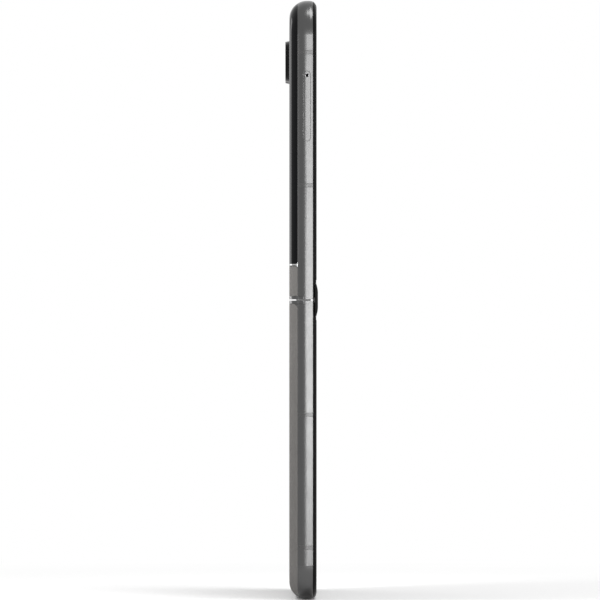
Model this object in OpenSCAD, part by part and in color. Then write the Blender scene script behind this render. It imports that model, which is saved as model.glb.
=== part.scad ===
// Folding smartphone, shown open and standing on its bottom end.
// X runs across the width, Y through the thickness with the screen at -Y,
// Z up the length. The origin is the middle of the bottom end.

/* [Body] */
// Length of the open phone
body_len = 171.3; // [165:0.1:180]
// Width across the side rails
body_w = 74; // [70:0.1:80]
// Thickness from bezel to back cover
body_t = 7.8; // [7.6:0.05:9]
// Plan radius of the four outer corners
corner_r = 10; // [9:0.1:13]
// Section radius of the back edges
edge_back_r = 5.05; // [4.6:0.05:5.3]
// Section radius of the front edges
edge_front_r = 2; // [1.7:0.05:2.3]
// Gap between the two halves at the fold
seam_gap = 0.37; // [0.3:0.01:0.5]
// Thickness of the rails and of the end walls
rail_t = 2.4; // [2.1:0.05:2.8]
// Thickness of the plate inside each frame
plate_t = 0.8; // [0.6:0.05:1]
// Height of the antenna breaks along the rails
break_h = 1.1; // [0.8:0.05:1.5]
// Distance of the antenna breaks nearer the fold, from the end of their half
break_near_drop = 52.95; // [51.8:0.05:56]
// Distance of the antenna breaks further from the fold, from the end of their half
break_far_drop = 15.05; // [13.5:0.05:15.4]

/* [Covers] */
// How far the covers reach down the edges
cover_wrap = 2.35; // [2:0.05:2.6]
// Thickness of the leather-faced covers
cover_t = 0.9; // [0.7:0.05:1]
// Thickness of the cover glass
glass_t = 0.7; // [0.5:0.05:0.85]
// Height of the metal bar beside the fold
fold_bar_h = 0.96; // [0.8:0.02:1.2]
// Height of the leather strip above the fold
strip_h = 8.5; // [7:0.1:10]
// Height of the metal trim between strip and glass
trim_h = 0.42; // [0.3:0.02:0.6]
// Open line between the strip and the trim
trim_gap = 0.2; // [0.1:0.02:0.3]
// Length along the rail of the lower cover's cut corner
cover_corner_h = 0.97; // [0.5:0.01:1.2]
// Depth of the lower cover's cut corner
cover_corner_t = 0.8; // [0.5:0.05:1]
// Size of the leather strip's cut corner beside the trim
strip_corner = 0.55; // [0.3:0.05:0.8]
// Radius of the glass's corner beside the trim
glass_corner = 0.6; // [0.3:0.05:0.9]
// How far the lines beside the fold run down the sides
fold_line_t = 1.8; // [1:0.1:2.4]

/* [Display] */
// Height of the bezel above the display
display_recess = 0.45; // [0.3:0.05:0.5]
// Thickness of the folding display
display_t = 0.6; // [0.45:0.05:0.6]
// Width of the bezel seen from the front
bezel_w = 2.9; // [2.6:0.05:3.2]
// Width of the bezel's rim beside the display
bezel_rim = 2.2; // [2:0.05:2.5]
// How far the bezel reaches down the edges
bezel_wrap = 1.08; // [1.06:0.01:1.2]
// Thickness of the cover display behind the glass
cover_display_t = 0.9; // [0.7:0.05:1]
// Margin of the cover display inside the sides of the phone
cover_display_margin = 5.4; // [5.3:0.1:7]
// Length of each rubber guard over the fold
guard_len = 9.45; // [8:0.05:11]
// Height of the guards above the bezel
guard_rise = 0.38; // [0.2:0.02:0.5]
// Length of the flat on top of each guard
guard_flat = 4; // [2:0.1:6]
// Depth of the shallow dip where each guard meets the bezel
guard_dip = 0.12; // [0.05:0.01:0.2]

/* [Hinge] */
// Depth of the two fold axes behind the display
axis_depth = 1.45; // [1.42:0.01:1.6]
// Gap between the two display halves when closed
closed_gap = 1.24; // [1.1:0.02:1.6]
// Radius of the spine cover about each axis
spine_r = 3.9; // [3.6:0.05:4]
// Thickness of the spine cover
spine_wall = 0.35; // [0.3:0.05:0.5]
// Running gap round the spine cover
spine_gap = 0.15; // [0.1:0.01:0.25]
// Distance of each hinge unit from the middle
hinge_x = 21; // [16:0.5:25]
// Diameter of the hinge shafts
shaft_d = 1; // [0.8:0.02:1.1]
// Running clearance of each shaft, on the radius
shaft_gap = 0.03; // [0.02:0.01:0.05]
// Radius of the knuckles and lugs
knuckle_r = 0.78; // [0.74:0.01:0.8]
// Pitch radius of the timing gears
gear_r = 0.7; // [0.7:0.01:0.72]
// Number of teeth on each timing gear
gear_teeth = 10; // [10:2:12]
// Diameter of the axles of the middle gears
idler_d = 0.6; // [0.5:0.02:0.7]
// Thickness of the hinge leaves
leaf_t = 0.66; // [0.5:0.02:0.68]

/* [Cameras] */
// Outer diameter of the camera rings at the glass
ring_d = 12.1; // [11:0.1:13]
// Outer diameter of the camera rings at the top
ring_top_d = 11.5; // [10.5:0.1:12]
// Height of the camera rings above the glass
ring_rise = 1.2; // [0.9:0.05:1.6]
// Diameter of the lens windows
window_d = 9.2; // [8.4:0.1:9.6]
// Distance of the cameras below the top end
camera_drop = 16.3; // [15:0.1:18]
// Distance of the main camera from the side of the phone
camera_inset = 16.3; // [15:0.1:18]
// Distance between the two cameras
camera_pitch = 15.6; // [14:0.1:17]
// Diameter of the flash window
flash_d = 3.4; // [2.6:0.1:4]
// Diameter of the front camera's hole in the display
punch_d = 3.5; // [3:0.1:4]
// Distance of the front camera below the top end
punch_drop = 6.4; // [6:0.1:7.5]

/* [Buttons] */
// Length of the power button
power_len = 11.4; // [9:0.1:12]
// Distance of the power button below the top end
power_drop = 44.25; // [42.6:0.05:45.2]
// Length of the volume rocker
volume_len = 17; // [14:0.1:18]
// Distance of the volume rocker below the top end
volume_drop = 25.25; // [24.8:0.05:26.6]
// Width of both buttons through the thickness
button_w = 2; // [1.6:0.05:2.1]
// Height of both buttons above the rail
button_rise = 0.35; // [0.3:0.01:0.5]
// Gap round the buttons
button_gap = 0.08; // [0.06:0.01:0.12]

/* [Card tray] */
// Length of the tray's door
door_len = 19.9; // [18:0.1:21]
// Width of the tray's door
door_w = 1.95; // [1.7:0.05:2.2]
// Distance of the door's middle below the top end
tray_drop = 30.4; // [29.8:0.05:31.6]
// Depth of the tray behind the rail's outer face
tray_depth = 17; // [15:0.1:19]
// Diameter of the eject hole in the door
eject_d = 1.1; // [0.9:0.05:1.3]
// Distance of the eject hole from the door's upper end
eject_inset = 1.1; // [1:0.05:1.4]
// Gap round the tray and its door
tray_gap = 0.06; // [0.05:0.01:0.1]

/* [Connector] */
// Width of the connector's opening
port_w = 8.34; // [8.3:0.02:8.4]
// Height of the connector's opening
port_h = 2.56; // [2.54:0.02:2.6]
// Depth of the connector's shell
port_depth = 7.3; // [6.8:0.1:8]
// Diameter of the holes of the loudspeaker
sound_hole_d = 1.3; // [1:0.1:1.6]
// Number of holes of the loudspeaker
sound_holes = 6; // [4:1:7]

/* [Power] */
// Thickness of the battery above the fold
upper_cell_t = 3.4; // [2.8:0.1:3.6]
// Height of the main board, beyond that battery
board_h = 41.45; // [41.2:0.05:43]
// Thickness of the battery below the fold
lower_cell_t = 4; // [3.4:0.1:4.1]
// Height of the bottom board, beyond that battery
sub_board_h = 28.1; // [26:0.1:31]
// Gap between the batteries and the side rails
cell_side_gap = 3.6; // [2.6:0.1:5]
// Thickness of the charging coil
coil_t = 0.4; // [0.3:0.05:0.5]

/* [Hidden] */

$fn = 48;

half_len = body_len / 2;
half_w = body_w / 2;
seam_half = seam_gap / 2;
eps = 0.01;
big = 40;
clear = 0.3;

// Middles of the two edge rounds, through the thickness
edge_back_y = body_t / 2 - edge_back_r;
edge_front_y = -body_t / 2 + edge_front_r;

// Places along each half, measured outwards from the fold
break_near_z = half_len - break_near_drop;
break_far_z = half_len - break_far_drop;
power_z = half_len - power_drop;
volume_z = half_len - volume_drop;
tray_z = half_len - tray_drop;
board_z0 = half_len - board_h;
sub_board_z0 = half_len - sub_board_h;

// Layers, measured as depths behind the display's surface
back_d = body_t - display_recess;
bezel_d = -display_recess;
frame_front_d = bezel_wrap - display_recess;
plate_back_d = frame_front_d + plate_t;
frame_back_d = back_d - cover_wrap;
cover_in_d = back_d - cover_t;
glass_in_d = back_d - glass_t;
part_gap = 0.05;

// Fold
axis_z = axis_depth + closed_gap / 2;
trough_r = spine_r + spine_gap;
trough_t = 0.5;
trough_z = axis_z + trough_r;
fold_half = trough_z + 0.2;
bar_z1 = seam_half + fold_bar_h;
relief_r = axis_z - seam_half;
spine_half_w = half_w - rail_t - clear;
spine_edge_d = axis_depth + 0.02;
spine_in_r = spine_r - spine_wall;
dip_h = 1;

// Hinge unit: where its pieces lie along the shaft, from the unit's middle
unit_half = 7;
shaft_r = shaft_d / 2;
lug_spans = [[-unit_half, -5.6], [-0.8, 0.8], [2.8, 3.9], [5.8, unit_half]];
gear_lug_spans = [lug_spans[1], lug_spans[2]];
knuckle_span = [-5.4, -1];
gear_span = [1, 2.6];
clip_span = [4.1, 5.6];
idler_span = [0.1, 3.6];
deck_d = axis_depth + 1.25;
base_r = spine_in_r - part_gap;
idler_depth = axis_depth + sqrt(pow(2 * gear_r, 2) - pow(axis_z - gear_r, 2));
leaf_back_d = axis_depth - 0.1;
leaf_front_d = leaf_back_d - leaf_t;
leaf_reach = 6.4;
leaf_z1 = trough_z + leaf_reach;
beam_d = leaf_back_d + 1.25;
leaf_screw_z = trough_z + 0.56 * leaf_reach;
leaf_screw_x = 4.6;

// Timing gears: tooth shape and the turn at which each gear starts
tooth_tip = 0.09;
tooth_root = 0.14;
tooth_deg = 360 / gear_teeth;
tooth_tip_deg = 3.4;
tooth_root_deg = 10.5;
gear_line = atan2(idler_depth - axis_depth, axis_z - gear_r);
phase_lower = gear_line;
phase_idler_lower = gear_line + tooth_deg / 2;
phase_idler_upper = tooth_deg / 2 - phase_idler_lower;
phase_upper = -2 * gear_line + tooth_deg / 2 - phase_idler_upper;

// Ribbon cable across the fold
flex_w = 10;
flex_t = 0.2;
cell_gap = 1.5;
cell_z0 = leaf_z1 + cell_gap;
flex_front_d = frame_front_d + 0.06;
flex_run_d = plate_back_d + part_gap;
flex_join_z = trough_z + 1.1;
flex_turn_z = trough_z + 3.1;
flex_bend = [
    [trough_z - 0.1, flex_front_d + 0.11],
    [axis_z + 3.2, axis_depth - 0.3], [axis_z + 2.3, axis_depth + 0.65],
    [axis_z + 0.9, axis_depth + 1.55], [axis_z - 0.6, axis_depth + 2.05], [0, axis_depth + 2.2]
];

// Boards and what they carry
board_t = 0.7;
board_d = plate_back_d + 1.62;
board_inset = rail_t + 0.4;
shield_h = 1.4;
shield_t = 0.25;
screw_r = 0.6;
screw_gap = 0.05;
screw_head_r = 1.1;
screw_head_t = 0.4;
boss_r = 1.5;
boss_x = half_w - rail_t - 3.6;
far_boss_z = half_len - corner_r - 2;
boss_inset = 2.4;
tray_boss_gap = 6.5;
upper_bosses = [
    [-half_w + tray_depth + tray_boss_gap, board_z0 + boss_inset], [boss_x, board_z0 + boss_inset],
    [-boss_x, far_boss_z], [boss_x, far_boss_z]
];
lower_bosses = [for (x = [-boss_x, boss_x], z = [sub_board_z0 + boss_inset, far_boss_z]) [x, z]];

shield_inset = 11;
shield_gap = 4.6;
shield_spans = [[shield_inset - half_w, -2], [0.5, half_w - shield_inset]];
motor_r = 4;
motor_inset = 15;
motor_x = motor_inset - half_w;
motor_drop = 14;
earpiece_span = [-17.4, -5.2];
earpiece_h = 7;
speaker_h = 12;

// Cameras
camera_z = half_len - camera_drop;
main_x = half_w - camera_inset;
wide_x = main_x - camera_pitch;
flash_x = wide_x - ring_d / 2 - 3.4;
camera_body = 10.4;
barrel_r = window_d / 2 - 0.35;
ring_neck_r = window_d / 2 + 0.7;
window_drop = 0.18;
window_t = 0.7;
punch_z = half_len - punch_drop;
front_body = 6.4;

// Glass and strip on the back of the upper half
strip_z0 = bar_z1;
strip_z1 = strip_z0 + strip_h;
trim_z0 = strip_z1 + trim_gap;
glass_z0 = trim_z0 + trim_h;

// Buttons
button_y = (edge_back_y + edge_front_y) / 2;
button_face_x = half_w + button_rise;
button_skirt = 0.5;
button_skirt_x = half_w - 1.7;
button_in_x = half_w - rail_t - part_gap;
switch_x = button_in_x - 0.35;

// Card tray
tray_y = edge_back_y;
door_t = 1;
tray_plate_t = 0.8;
rod_w = 0.7;
tray_w = door_len - 2 * (eject_inset + rod_w / 2 + 0.2);
card_w = 8.9;
card_h = 12.4;
card_lip = 0.8;
card_inset = 3.6;
eject_z = tray_z + door_len / 2 - eject_inset;
tray_mid_d = depth(tray_y);
tray_tail_x = -half_w + tray_depth;
reader_x0 = -half_w + rail_t + part_gap;
reader_x1 = tray_tail_x + 3.6;
rod_gap = 0.08;
rod_travel = 0.6;
lever_t = 0.6;
lever_w = 0.7;
lever_hub_r = 0.8;
ejector_pin_r = 0.4;
ejector_x = tray_tail_x + 1.75;
ejector_z = eject_z - 2.5;
ejector_tail = 4.6;

// Connector and sound
port_y = edge_back_y + 0.75;
port_shell = 0.3;
port_pocket = 0.5;
sound_inset = 24.5;
sound_x0 = half_w - sound_inset;
sound_pitch = 2.4;
mic_x = -sound_x0;

// Behind the covers
cell_d = flex_run_d + flex_t + part_gap;
cell_w = body_w - 2 * (rail_t + cell_side_gap);
upper_cell_h = board_z0 - 2 * cell_gap - cell_z0;
lower_cell_h = sub_board_z0 - cell_gap - cell_z0;
coil_out_r = 19;
coil_in_r = 9.5;
coil_z = cell_z0 + lower_cell_h / 2;

// Y of a depth behind the display's surface
function dy(d) = -body_t / 2 + display_recess + d;

// Depth of a Y
function depth(y) = y + body_t / 2 - display_recess;

// ---------------------------------------------------------------- placing

// Children are drawn with z measured outwards from the fold.
module upper() {
    translate([0, 0, half_len]) children();
}

module lower() {
    translate([0, 0, half_len]) mirror([0, 0, 1]) children();
}

module both_sides() {
    children();
    mirror([1, 0, 0]) children();
}

// Extrudes an outline drawn as (z, depth) along X.
module across(x) {
    translate([x[1], dy(0), 0]) rotate([0, -90, 0]) linear_extrude(x[1] - x[0]) children();
}

// Extrudes an outline drawn as (x, z) through a range of depths.
module through(d) {
    translate([0, dy(d[1]), 0]) rotate([90, 0, 0]) linear_extrude(d[1] - d[0]) children();
}

// A block between two x, two depths and two z.
module block(x, d, z) {
    translate([x[0], dy(d[0]), z[0]]) cube([x[1] - x[0], d[1] - d[0], z[1] - z[0]]);
}

// A round bar along X.
module bar_x(r, x, d, z) {
    translate([x[0], dy(d), z]) rotate([0, 90, 0]) cylinder(r = r, h = x[1] - x[0]);
}

// A round post through the thickness.
module post(r, x, z, d) {
    translate([x, dy(d[0]), z]) rotate([-90, 0, 0]) cylinder(r = r, h = d[1] - d[0]);
}

// ---------------------------------------------------------------- outer form

// Section of the edge, from the middle of a plan corner outwards, between two Y.
module edge_2d(inset, y) {
    intersection() {
        union() {
            intersection() {
                translate([corner_r - edge_back_r, edge_back_y]) circle(edge_back_r - inset);
                translate([0, edge_back_y]) square([corner_r - min(inset, 0), body_t]);
            }
            intersection() {
                translate([corner_r - edge_front_r, edge_front_y]) circle(edge_front_r - inset);
                translate([0, edge_front_y - body_t]) square([corner_r - min(inset, 0), body_t]);
            }
            translate([0, edge_back_y - eps])
                square([corner_r - edge_back_r, edge_back_r - inset + eps]);
            translate([0, edge_front_y])
                square([corner_r - inset, edge_back_y - edge_front_y]);
            translate([0, edge_front_y - edge_front_r + inset])
                square([corner_r - edge_front_r, edge_front_r - inset + eps]);
        }
        translate([0, y[0]]) square([corner_r + 1, y[1] - y[0]]);
    }
}

// A slab of the phone's section from z0 outwards, with both rounded corners.
module half_slab(z0, inset, y) {
    core_x = half_w - corner_r;
    core_z = half_len - corner_r;
    core_y0 = max(y[0], -body_t / 2 + inset);
    core_y1 = min(y[1], body_t / 2 - inset);
    both_sides() {
        translate([core_x, 0, z0]) linear_extrude(core_z - z0) edge_2d(inset, y);
        translate([core_x, 0, core_z])
            rotate([-90, 0, 0])
                rotate([0, 0, -90])
                    rotate_extrude(angle = 90) edge_2d(inset, y);
    }
    translate([0, 0, core_z]) rotate([0, -90, 0]) linear_extrude(2 * core_x, center = true) edge_2d(inset, y);
    translate([-core_x, core_y0, z0]) cube([2 * core_x, core_y1 - core_y0, core_z - z0]);
}

// The same section between two z, across the whole width.
module band(z, inset, y) {
    core_x = half_w - corner_r;
    core_y0 = max(y[0], -body_t / 2 + inset);
    core_y1 = min(y[1], body_t / 2 - inset);
    both_sides() translate([core_x, 0, z[0]]) linear_extrude(z[1] - z[0]) edge_2d(inset, y);
    translate([-core_x, core_y0, z[0]]) cube([2 * core_x, core_y1 - core_y0, z[1] - z[0]]);
}

// Plan of one half inside its edge, from z0 to the end.
module plan_2d(inset, z0) {
    r = corner_r - inset;
    for (s = [-1, 1]) translate([s * (half_w - corner_r), half_len - corner_r]) circle(r);
    translate([corner_r - half_w, half_len - corner_r]) square([body_w - 2 * corner_r, r]);
    translate([inset - half_w, z0]) square([body_w - 2 * inset, half_len - corner_r - z0]);
}

// What the halves leave free in front of the axes, so that their ends can roll past each other.
module roll_relief(x) {
    across(x) difference() {
        translate([-1, -4]) square([axis_z + 1, axis_depth + 4]);
        translate([axis_z, axis_depth]) circle(relief_r);
    }
}

// Outline of the spine, as (z, depth).
module spine_2d(r) {
    for (s = [-1, 1]) translate([s * axis_z, axis_depth]) circle(r);
    translate([-axis_z, axis_depth - r]) square([2 * axis_z, 2 * r]);
}

// ---------------------------------------------------------------- edge corners
// The covers' lower edges lie at frame_back_d; their corners are drawn as (z, depth).

module cover_corner_2d() {
    polygon([[bar_z1 - 1, frame_back_d - 1], [bar_z1 + cover_corner_h, frame_back_d - 1],
        [bar_z1 + cover_corner_h, frame_back_d], [bar_z1, frame_back_d + cover_corner_t],
        [bar_z1 - 1, frame_back_d + cover_corner_t]]);
}

module strip_corner_2d() {
    polygon([[strip_z1 + 1, frame_back_d - 1], [strip_z1 - strip_corner, frame_back_d - 1],
        [strip_z1 - strip_corner, frame_back_d], [strip_z1, frame_back_d + strip_corner],
        [strip_z1 + 1, frame_back_d + strip_corner]]);
}

module glass_corner_2d() {
    difference() {
        translate([glass_z0 - 1, frame_back_d - 1]) square(glass_corner + 1);
        translate([glass_z0 + glass_corner, frame_back_d + glass_corner]) circle(glass_corner);
    }
}

// The covers' own shell between two z, which their corners are cut from.
module shell(z, wall) {
    difference() {
        band(z, 0, [dy(frame_back_d), body_t / 2]);
        band([z[0] - 1, z[1] + 1], wall, [dy(frame_back_d) - 1, body_t]);
    }
}

// ---------------------------------------------------------------- frames

// Bosses that carry a board's screws.
module bosses(places) {
    for (p = places) post(boss_r, p[0], p[1], [plate_back_d - eps, board_d]);
}

module boss_holes(places) {
    for (p = places) post(screw_r + screw_gap, p[0], p[1], [plate_back_d + 0.2, board_d + 2]);
}

// Beam across one side, which one hinge leaf is screwed to.
module leaf_beam() {
    block([flex_w / 2 + 0.4, half_w - rail_t + eps], [plate_back_d - eps, beam_d], [trough_z, leaf_z1 + 1]);
}

module leaf_recess() {
    block([hinge_x - unit_half - part_gap, hinge_x + unit_half + part_gap],
        [frame_front_d - 1, leaf_back_d + 0.01], [trough_z - 1, leaf_z1 + part_gap]);
    for (s = [-1, 1])
        post(screw_r + screw_gap, hinge_x + s * leaf_screw_x, leaf_screw_z, [leaf_back_d - 1, beam_d + 1]);
}

module frame_half(boss_places) {
    inner_x = half_w - rail_t;
    difference() {
        union() {
            difference() {
                union() {
                    half_slab(seam_half, 0, [dy(frame_front_d), dy(frame_back_d)]);
                    band([seam_half, bar_z1], 0, [dy(frame_front_d), body_t / 2]);
                    band([seam_half, axis_z + trough_r + trough_t], cover_t,
                        [dy(axis_depth), dy(axis_depth + trough_r + trough_t)]);
                }
                difference() {
                    through([plate_back_d, back_d]) plan_2d(rail_t, bar_z1);
                    across([-half_w, half_w]) spine_2d(trough_r + trough_t);
                }
            }
            both_sides() leaf_beam();
            bosses(boss_places);
        }
        across([-inner_x, inner_x]) {
            spine_2d(trough_r);
            translate([-1, -2]) square([trough_z + 1, axis_depth + 2]);
        }
        both_sides() leaf_recess();
        roll_relief([-big, big]);
        both_sides() for (z = [break_near_z, break_far_z]) break_cut(z, eps);
        block([-flex_w / 2 - 0.2, flex_w / 2 + 0.2], [frame_front_d - 1, flex_front_d + flex_t + 0.06],
            [trough_z - 1, flex_turn_z + 0.3]);
        block([-flex_w / 2 - 0.2, flex_w / 2 + 0.2], [frame_front_d - 1, plate_back_d + 0.5],
            [flex_turn_z - 0.6, flex_turn_z + 0.3]);
        boss_holes(boss_places);
        fold_line();
    }
}

// Fine line round the bar beside the fold, and along its ends on the rails.
module fold_line() {
    line = 0.1;
    y0 = dy(frame_back_d - fold_line_t);
    difference() {
        union() {
            band([bar_z1 - line, bar_z1], -1, [y0, body_t]);
            band([-1, bar_z1], -1, [y0, y0 + line]);
        }
        band([-2, bar_z1 + 1], line, [-body_t, body_t]);
    }
}

// Slot that an antenna break fills, through one rail.
module break_cut(z, over) {
    block([half_w - rail_t - over, half_w + 1], [plate_back_d, back_d], [z - break_h / 2, z + break_h / 2]);
    block([half_w - rail_t / 2, half_w + 1], [frame_front_d - 1, plate_back_d + eps],
        [z - break_h / 2, z + break_h / 2]);
}

module antenna_breaks() {
    both_sides() for (z = [break_near_z, break_far_z])
        intersection() {
            band([z - break_h, z + break_h], 0, [dy(frame_front_d), dy(frame_back_d)]);
            break_cut(z, 0);
        }
}

module upper_frame() {
    color([0.42, 0.42, 0.42]) upper() difference() {
        frame_half(upper_bosses);
        side_button_slot(power_z, power_len);
        side_button_slot(volume_z, volume_len);
        tray_slot();
        post(punch_d / 2 + part_gap, 0, punch_z, [frame_front_d - 1, plate_back_d + 1]);
        end_hole(mic_x, sound_hole_d / 2);
    }
}

module lower_frame() {
    color([0.42, 0.42, 0.42]) lower() difference() {
        union() {
            frame_half(lower_bosses);
            intersection() {
                shell([bar_z1 - eps, bar_z1 + cover_corner_h], cover_t);
                across([-half_w, half_w]) cover_corner_2d();
            }
        }
        port_hole();
        sound_hole_row();
        end_hole(mic_x, sound_hole_d / 2);
    }
}

module upper_antenna_breaks() {
    color([0.3, 0.3, 0.3]) upper() antenna_breaks();
}

module lower_antenna_breaks() {
    color([0.3, 0.3, 0.3]) lower() antenna_breaks();
}

// ---------------------------------------------------------------- display

// Frame of plastic round one half of the display, with a lip over its edge.
module bezel_half() {
    difference() {
        half_slab(seam_half, 0, [-body_t / 2, dy(frame_front_d)]);
        through([-part_gap, frame_front_d + 1]) plan_2d(bezel_rim, -1);
        through([bezel_d - 1, 0]) plan_2d(bezel_w, -1);
        roll_relief([-big, big]);
        block([-big, big], [bezel_d - 1, 0], [-1, guard_len / 2 + part_gap]);
        block([-big, big], [bezel_d - 1, bezel_d + guard_dip], [-1, guard_len / 2 + dip_h]);
        block([-half_w + bezel_rim, half_w - bezel_rim], [-1, frame_front_d + 1], [-1, fold_half]);
    }
}

module upper_bezel() {
    color([0.03, 0.03, 0.03]) upper() difference() {
        bezel_half();
        for (x = [-5 : 1 : 5]) post(0.3, x, half_len - 1.55, [bezel_d - 1, -part_gap - eps]);
    }
}

module lower_bezel() {
    color([0.03, 0.03, 0.03]) lower() bezel_half();
}

module display_half() {
    through([0, display_t]) plan_2d(bezel_rim + part_gap, fold_half);
}

module display_upper() {
    color([0.02, 0.02, 0.025]) upper() difference() {
        display_half();
        post(punch_d / 2, 0, punch_z, [-1, display_t + 1]);
    }
}

module display_lower() {
    color([0.02, 0.02, 0.025]) lower() display_half();
}

// The stretch of the display that bends, drawn flat.
module display_fold() {
    x = half_w - bezel_rim - part_gap;
    color([0.02, 0.02, 0.025]) upper()
        block([-x, x], [0, display_t], [-fold_half, fold_half]);
}

// Height of a guard above the display, at a distance from the fold.
function guard_height(z) =
    let (run = max(0, (abs(z) - guard_flat / 2) / ((guard_len - guard_flat) / 2)))
    display_recess + guard_rise - (guard_rise + guard_dip) * (1 - cos(90 * run));

module fold_guard() {
    steps = 28;
    z_of = function (i) (i / steps - 0.5) * guard_len;
    outline = concat(
        [[-guard_len / 2, -part_gap]],
        [for (i = [0 : steps]) [z_of(i), -guard_height(z_of(i))]],
        [[guard_len / 2, -part_gap]]
    );
    intersection() {
        across([half_w - bezel_w, half_w + 1]) polygon(outline);
        band([-guard_len, guard_len], -guard_rise, [-body_t, dy(0)]);
    }
}

module fold_guard_right() {
    color([0.11, 0.11, 0.11]) upper() fold_guard();
}

module fold_guard_left() {
    color([0.11, 0.11, 0.11]) upper() mirror([1, 0, 0]) fold_guard();
}

// ---------------------------------------------------------------- covers

// A shallow tray with the phone's edge section, from z0 to the end.
module cover_tray(z0, wall) {
    difference() {
        half_slab(z0, 0, [dy(frame_back_d), body_t / 2]);
        half_slab(z0 - 1, wall, [dy(frame_back_d) - 1, body_t]);
    }
}

module back_cover() {
    color([0.46, 0.45, 0.44]) lower() difference() {
        cover_tray(bar_z1, cover_t);
        across([-big, big]) cover_corner_2d();
    }
}

module leather_strip() {
    color([0.46, 0.45, 0.44]) upper() difference() {
        shell([strip_z0, strip_z1], cover_t);
        across([-big, big]) strip_corner_2d();
    }
}

// Thin bar between the strip and the glass, which fills both their corners.
module cover_trim() {
    color([0.6, 0.6, 0.6]) upper() {
        shell([trim_z0, glass_z0], glass_t);
        intersection() {
            shell([strip_z1 - strip_corner, glass_z0 + glass_corner], glass_t);
            across([-half_w, half_w]) {
                intersection() {
                    translate([trim_gap, 0]) strip_corner_2d();
                    translate([0, frame_back_d - 1]) square([glass_z0, cover_wrap]);
                }
                intersection() {
                    glass_corner_2d();
                    translate([trim_z0, frame_back_d - 1]) square(cover_wrap);
                }
            }
        }
    }
}

module cover_glass() {
    color([0.03, 0.03, 0.035]) upper() difference() {
        cover_tray(glass_z0, glass_t);
        across([-big, big]) glass_corner_2d();
        for (x = [main_x, wide_x]) post(ring_neck_r + part_gap, x, camera_z, [back_d - 2, back_d + 1]);
        post(flash_d / 2 + part_gap, flash_x, camera_z, [back_d - 2, back_d + 1]);
    }
}

module cover_display() {
    d1 = glass_in_d - part_gap;
    color([0.02, 0.02, 0.025]) upper() difference() {
        through([d1 - cover_display_t, d1])
            intersection() {
                plan_2d(cover_display_margin, glass_z0 + 2);
                translate([-half_w, glass_z0 + 2]) square([body_w, half_len]);
            }
        for (x = [main_x, wide_x]) post(ring_neck_r + clear, x, camera_z, [d1 - 3, d1 + 1]);
        post(flash_d / 2 + clear, flash_x, camera_z, [d1 - 3, d1 + 1]);
    }
}

// ---------------------------------------------------------------- cameras

module camera_rings() {
    color([0.05, 0.05, 0.05]) upper() for (x = [main_x, wide_x])
        translate([x, 0, camera_z]) rotate([-90, 0, 0]) difference() {
            union() {
                translate([0, 0, dy(back_d)])
                    cylinder(r1 = ring_d / 2, r2 = ring_top_d / 2, h = ring_rise);
                translate([0, 0, dy(glass_in_d - cover_display_t)])
                    cylinder(r = ring_neck_r, h = glass_t + cover_display_t + eps);
            }
            translate([0, 0, dy(glass_in_d - cover_display_t) - clear])
                cylinder(r = barrel_r + part_gap, h = big);
            translate([0, 0, dy(back_d + ring_rise - window_drop - window_t)])
                cylinder(r = window_d / 2 + part_gap, h = big);
        }
}

module camera_windows() {
    d1 = back_d + ring_rise - window_drop;
    color([0.02, 0.02, 0.03]) upper() for (x = [main_x, wide_x])
        post(window_d / 2, x, camera_z, [d1 - window_t, d1]);
}

// A camera: square body, round barrel and stepped nose.
module camera_unit(x, body, nose_r) {
    nose_d = back_d + ring_rise - window_drop - window_t - part_gap;
    difference() {
        union() {
            block([x - body / 2, x + body / 2], [plate_back_d, glass_in_d - cover_display_t - 0.1],
                [camera_z - body / 2, camera_z + body / 2]);
            post(barrel_r, x, camera_z, [plate_back_d, nose_d]);
        }
        translate([x, dy(nose_d) + eps, camera_z])
            rotate([90, 0, 0]) cylinder(r1 = nose_r, r2 = nose_r / 2, h = 0.9);
    }
}

module main_camera() {
    color([0.08, 0.08, 0.09]) upper() camera_unit(main_x, camera_body, barrel_r - 0.9);
}

module wide_camera() {
    color([0.08, 0.08, 0.09]) upper() camera_unit(wide_x, camera_body - 0.8, barrel_r - 1.5);
}

module flash() {
    color([0.9, 0.88, 0.7]) upper() difference() {
        post(flash_d / 2, flash_x, camera_z, [board_d + board_t, back_d - part_gap]);
        post(flash_d / 2 - 0.5, flash_x, camera_z, [back_d - 0.3, back_d]);
    }
}

module front_camera() {
    color([0.05, 0.05, 0.07]) upper() {
        block([-front_body / 2, front_body / 2], [plate_back_d, board_d + board_t + 1],
            [punch_z - front_body / 2, punch_z + front_body / 2]);
        post(punch_d / 2 - part_gap, 0, punch_z, [part_gap, plate_back_d + eps]);
    }
}

// ---------------------------------------------------------------- upper half, inside

module main_board() {
    cam = camera_body / 2 + clear;
    color([0.08, 0.25, 0.14]) upper() difference() {
        through([board_d, board_d + board_t]) intersection() {
            plan_2d(board_inset, board_z0);
            translate([-half_w, board_z0]) square([body_w, half_len]);
        }
        block([wide_x - cam, main_x + cam], [board_d - 1, board_d + 2], [camera_z - cam, camera_z + cam]);
        block([-front_body / 2 - clear, front_body / 2 + clear], [board_d - 1, board_d + 2],
            [punch_z - front_body / 2 - clear, half_len]);
        boss_holes(upper_bosses);
        block([half_w - rail_t - 1.6, half_w], [board_d - 1, board_d + 2],
            [board_z0 - 1, volume_z + volume_len / 2 + 3]);
    }
}

module board_shields() {
    d0 = board_d + board_t;
    z = [board_z0 + shield_gap, camera_z - camera_body / 2 - 1];
    color([0.7, 0.7, 0.72]) upper() for (x = shield_spans) difference() {
        block(x, [d0, d0 + shield_h], z);
        block([x[0] + shield_t, x[1] - shield_t], [d0 - 1, d0 + shield_h - shield_t],
            [z[0] + shield_t, z[1] - shield_t]);
    }
}

module upper_battery() {
    color([0.12, 0.12, 0.13]) upper()
        cell(upper_cell_h, upper_cell_t);
}

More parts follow.
